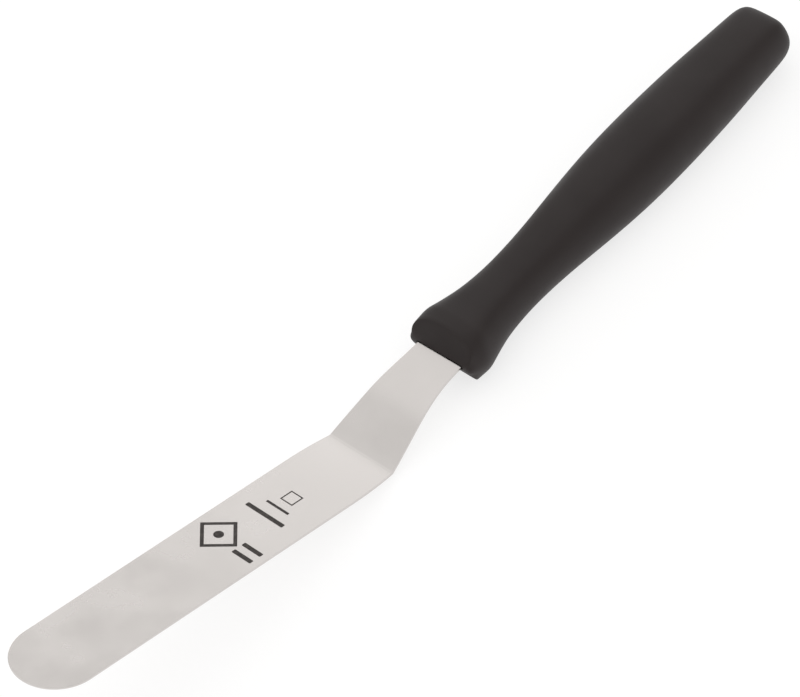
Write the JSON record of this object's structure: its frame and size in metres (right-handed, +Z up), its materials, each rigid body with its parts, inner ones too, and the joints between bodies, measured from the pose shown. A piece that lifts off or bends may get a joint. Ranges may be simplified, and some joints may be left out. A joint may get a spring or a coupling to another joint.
{
  "type": "offset spatula",
  "caption": "Small offset icing spatula: round-tipped steel blade with a raised neck, in a moulded plastic handle.",
  "frame": {"origin": "under the middle of the spatula's box, on the table it lies on", "axes": "+Z up from the table, +X from the blade's tip to the handle's butt, +Y across the width"},
  "size_m": [0.2246, 0.0194, 0.0289],
  "materials": {
    "stainless_steel": "fine satin, lightly polished",
    "black_polypropylene": "matt moulded, fine even texture"
  },
  "bodies": {
    "root": {"blade": "stainless_steel", "handle": "black_polypropylene"}
  },
  "joints": []
}
